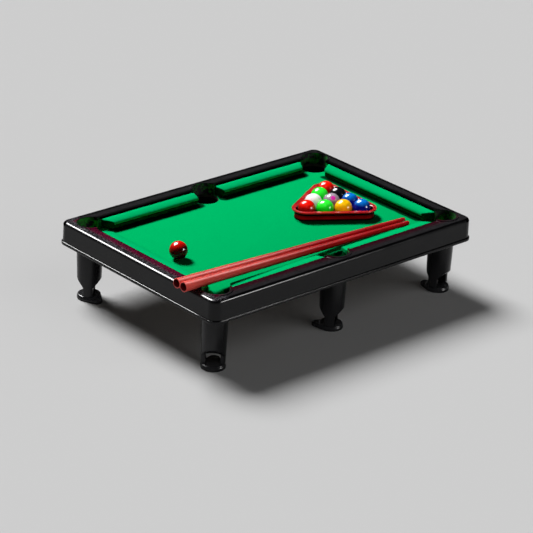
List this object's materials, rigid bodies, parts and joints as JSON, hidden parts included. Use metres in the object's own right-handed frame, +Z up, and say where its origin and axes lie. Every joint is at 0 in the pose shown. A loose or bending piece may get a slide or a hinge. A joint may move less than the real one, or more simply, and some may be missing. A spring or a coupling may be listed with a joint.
{
  "type": "mini pool table",
  "caption": "Toy tabletop pool table with a felt bed, pockets over goblet legs, racked balls, a loose ball and slim cues.",
  "frame": {"origin": "on the surface that the feet stand on, below the middle of the table", "axes": "+X along the long side towards the racked balls, +Y towards the back long side, +Z up"},
  "size_m": [0.3119, 0.2102, 0.0814],
  "materials": {
    "frame_plastic": "satin gloss with a fine moulded texture",
    "leg_plastic": "gloss",
    "pocket_plastic": "matte",
    "board": "raw pressed board",
    "felt": "short-pile felt",
    "cushion_felt": "short-pile felt over a foam strip",
    "screw_steel": "zinc plated",
    "rack_plastic": "gloss",
    "cue_plastic": "gloss",
    "ball_red": "polished",
    "ball_green": "polished",
    "ball_yellow": "polished",
    "ball_blue": "polished",
    "ball_white": "polished",
    "ball_silver": "polished with a magenta spot",
    "ball_black": "polished"
  },
  "bodies": {
    "table": {"frame_shell": "frame_plastic", "bed_board": "board", "bed_felt": "felt", "cushion_back_left": "cushion_felt", "cushion_back_right": "cushion_felt", "cushion_front_left": "cushion_felt", "cushion_front_right": "cushion_felt", "cushion_left_end": "cushion_felt", "cushion_right_end": "cushion_felt", "pocket_cup_back_left": "pocket_plastic", "pocket_cup_back_middle": "pocket_plastic", "pocket_cup_back_right": "pocket_plastic", "pocket_cup_front_left": "pocket_plastic", "pocket_cup_front_middle": "pocket_plastic", "pocket_cup_front_right": "pocket_plastic", "leg_back_left": "leg_plastic", "leg_back_middle": "leg_plastic", "leg_back_right": "leg_plastic", "leg_front_left": "leg_plastic", "leg_front_middle": "leg_plastic", "leg_front_right": "leg_plastic", "foot_back_left": "leg_plastic", "foot_back_middle": "leg_plastic", "foot_back_right": "leg_plastic", "foot_front_left": "leg_plastic", "foot_front_middle": "leg_plastic", "foot_front_right": "leg_plastic", "bed_screws": "screw_steel", "cup_screws": "screw_steel"},
    "rack": {"rack": "rack_plastic"},
    "cue_ball": {"cue_ball": "ball_red"},
    "cue_near": {"cue_near": "cue_plastic"},
    "cue_far": {"cue_far": "cue_plastic"},
    "ball_1": {"ball_1": "ball_red"},
    "ball_2": {"ball_2": "ball_green"},
    "ball_3": {"ball_3": "ball_yellow"},
    "ball_4": {"ball_4": "ball_blue"},
    "ball_5": {"ball_5": "ball_white"},
    "ball_6": {"ball_6": "ball_silver"},
    "ball_7": {"ball_7": "ball_blue"},
    "ball_8": {"ball_8": "ball_green"},
    "ball_9": {"ball_9": "ball_black"},
    "ball_10": {"ball_10": "ball_red"}
  },
  "joints": [
    {"name": "rack_lift", "type": "slide", "parent": "table", "child": "rack", "axis": [0, 0, 1], "range_m": [0, 0.06]},
    {"name": "ball_1_lift", "type": "slide", "parent": "table", "child": "ball_1", "axis": [0, 0, 1], "range_m": [0, 0.06]},
    {"name": "ball_2_lift", "type": "slide", "parent": "table", "child": "ball_2", "axis": [0, 0, 1], "range_m": [0, 0.06]},
    {"name": "ball_3_lift", "type": "slide", "parent": "table", "child": "ball_3", "axis": [0, 0, 1], "range_m": [0, 0.06]},
    {"name": "ball_4_lift", "type": "slide", "parent": "table", "child": "ball_4", "axis": [0, 0, 1], "range_m": [0, 0.06]},
    {"name": "ball_5_lift", "type": "slide", "parent": "table", "child": "ball_5", "axis": [0, 0, 1], "range_m": [0, 0.06]},
    {"name": "ball_6_lift", "type": "slide", "parent": "table", "child": "ball_6", "axis": [0, 0, 1], "range_m": [0, 0.06]},
    {"name": "ball_7_lift", "type": "slide", "parent": "table", "child": "ball_7", "axis": [0, 0, 1], "range_m": [0, 0.06]},
    {"name": "ball_8_lift", "type": "slide", "parent": "table", "child": "ball_8", "axis": [0, 0, 1], "range_m": [0, 0.06]},
    {"name": "ball_9_lift", "type": "slide", "parent": "table", "child": "ball_9", "axis": [0, 0, 1], "range_m": [0, 0.06]},
    {"name": "ball_10_lift", "type": "slide", "parent": "table", "child": "ball_10", "axis": [0, 0, 1], "range_m": [0, 0.06]},
    {"name": "cue_ball_roll", "type": "slide", "parent": "table", "child": "cue_ball", "axis": [1, 0, 0], "range_m": [-0.009, 0.12]},
    {"name": "cue_near_stroke", "type": "slide", "parent": "table", "child": "cue_near", "axis": [-0.9979, -0.0386, 0.0513], "range_m": [0, 0.12]},
    {"name": "cue_far_stroke", "type": "slide", "parent": "table", "child": "cue_far", "axis": [-0.9981, -0.0335, 0.0509], "range_m": [0, 0.12]}
  ]
}
